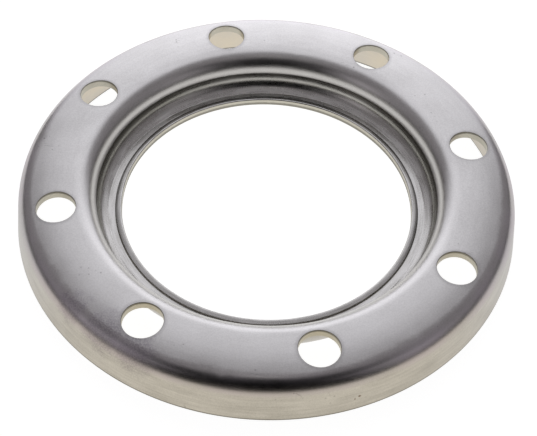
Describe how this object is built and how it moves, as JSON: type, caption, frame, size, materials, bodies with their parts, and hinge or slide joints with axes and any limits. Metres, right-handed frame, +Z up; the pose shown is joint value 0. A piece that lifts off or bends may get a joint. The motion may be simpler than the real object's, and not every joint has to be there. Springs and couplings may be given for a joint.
{
  "type": "loose flange",
  "caption": "Pressed sheet-steel loose flange: round bolt plate with a turned-down skirt, a dished collar around the pipe bore, and a ring of bolt holes.",
  "frame": {"origin": "on the flange's axis, in the plane that the skirt's rim stands on", "axes": "+Z up along the bore's axis, from the skirt's rim to the bolt plate; +X lies midway between two bolt holes"},
  "size_m": [0.2868, 0.2868, 0.0274],
  "materials": {
    "steel": "pickled, satin"
  },
  "bodies": {
    "root": {"pressed_flange": "steel"}
  },
  "joints": []
}
